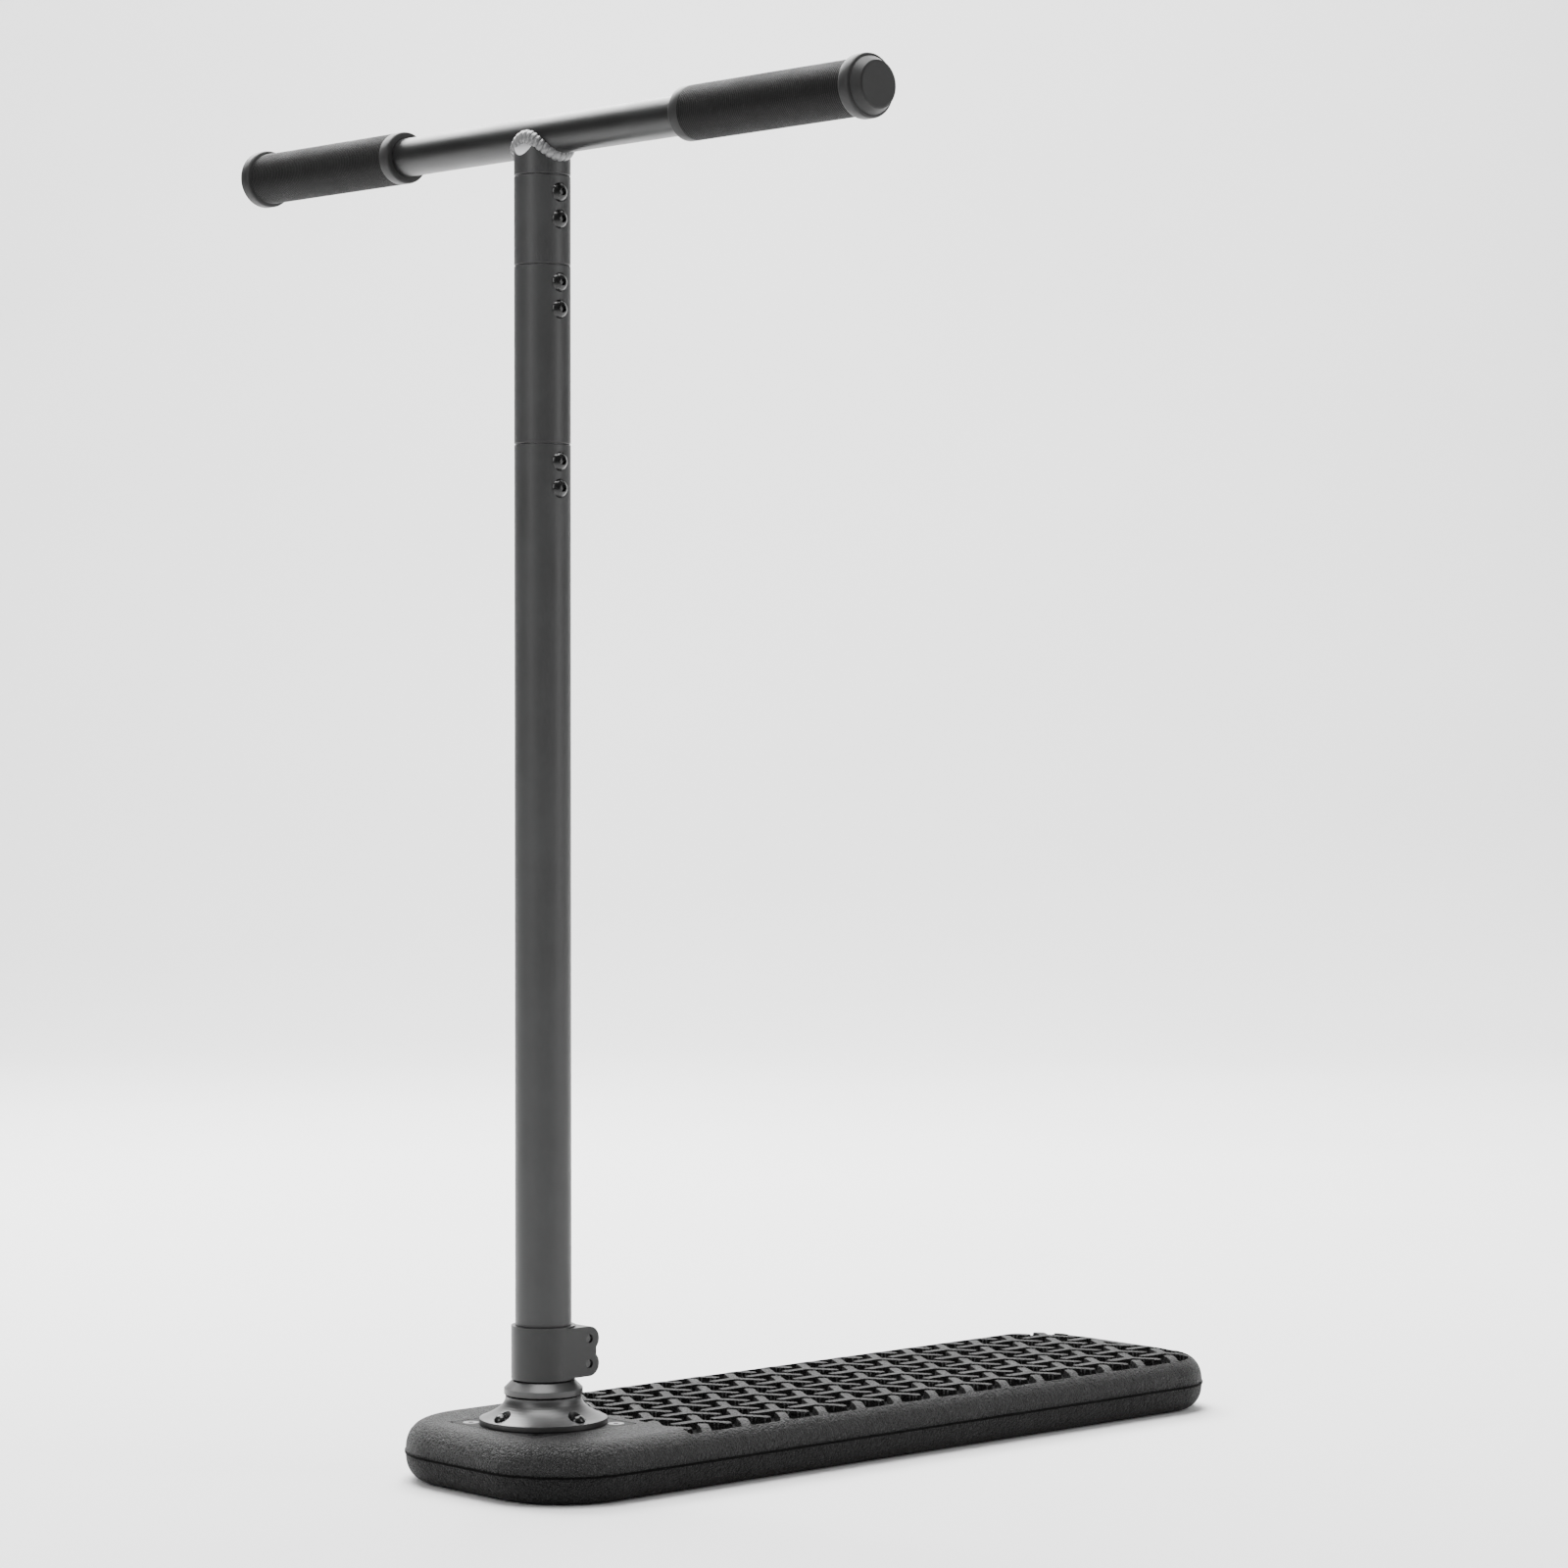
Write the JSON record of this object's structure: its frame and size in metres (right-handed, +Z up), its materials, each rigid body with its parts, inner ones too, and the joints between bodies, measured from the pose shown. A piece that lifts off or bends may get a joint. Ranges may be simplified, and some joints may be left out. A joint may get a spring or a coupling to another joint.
{
  "type": "trampoline scooter",
  "caption": "Trampoline scooter: a long cushioned foam deck carrying a T-shaped handlebar on a bolted sectional pole that swivels in a flanged bearing cup",
  "frame": {"origin": "on the steering axis, at the flat underside of the foam deck", "axes": "+X rearwards along the deck, +Y to the rider's right along the handlebar, +Z up along the pole"},
  "size_m": [0.546, 0.5484, 0.7745],
  "materials": {
    "deck_foam": "moulded foam, matt black",
    "deck_foam_lower": "moulded foam, matt black",
    "seam_rubber": "moulded rubber, black",
    "board_wood": "birch plywood",
    "base_steel": "black powder coat",
    "black_screws": "black oxide",
    "backing_steel": "plain steel",
    "cup_metal": "satin black",
    "race_steel": "ground steel",
    "ball_steel": "polished steel",
    "cage_brass": "pressed brass",
    "spindle_steel": "machined steel",
    "collar_metal": "matt black",
    "pole_paint": "matt charcoal powder coat",
    "bar_paint": "satin black",
    "weld_metal": "painted weld, satin charcoal",
    "grip_rubber": "ribbed rubber, matt black",
    "plug_plastic": "moulded plastic, black"
  },
  "bodies": {
    "deck": {"upper_foam_shell": "deck_foam", "lower_foam_shell": "deck_foam_lower", "seam_bead": "seam_rubber", "core_board": "board_wood", "base_plate": "base_steel", "base_plate_screws": "black_screws", "backing_plate": "backing_steel", "bearing_cup": "cup_metal", "cup_bolts": "black_screws", "upper_outer_race": "race_steel", "lower_outer_race": "race_steel"},
    "handlebar": {"spindle": "spindle_steel", "upper_inner_race": "race_steel", "lower_inner_race": "race_steel", "bearing_spacer": "spindle_steel", "retaining_washer": "spindle_steel", "retaining_bolt": "black_screws", "crown_cover": "cup_metal", "seal_ring": "seam_rubber", "clamp_collar": "collar_metal", "clamp_bolts": "black_screws", "main_tube": "pole_paint", "extension_long": "pole_paint", "extension_short": "pole_paint", "lower_spigot": "spindle_steel", "middle_spigot": "spindle_steel", "upper_spigot": "spindle_steel", "lower_joint_screws": "black_screws", "middle_joint_screws": "black_screws", "upper_joint_screws": "black_screws", "head_stub": "pole_paint", "crossbar": "bar_paint", "weld_bead": "weld_metal", "grip_right": "grip_rubber", "grip_left": "grip_rubber", "bar_plug_right": "plug_plastic", "bar_plug_left": "plug_plastic"},
    "upper_ball_set": {"upper_balls": "ball_steel", "upper_ball_cage": "cage_brass"},
    "lower_ball_set": {"lower_balls": "ball_steel", "lower_ball_cage": "cage_brass"}
  },
  "joints": [
    {"name": "steering", "type": "hinge", "parent": "deck", "child": "handlebar", "pos_m": [0, 0, 0], "axis": [0, 0, 1], "continuous": true},
    {"name": "upper_ball_orbit", "type": "hinge", "parent": "deck", "child": "upper_ball_set", "pos_m": [0, 0, 0], "axis": [0, 0, 1], "continuous": true},
    {"name": "lower_ball_orbit", "type": "hinge", "parent": "deck", "child": "lower_ball_set", "pos_m": [0, 0, 0], "axis": [0, 0, 1], "continuous": true}
  ],
  "couplings": [
    {"joint": "upper_ball_orbit", "follows": "steering", "ratio": 0.4327},
    {"joint": "lower_ball_orbit", "follows": "steering", "ratio": 0.4327}
  ]
}
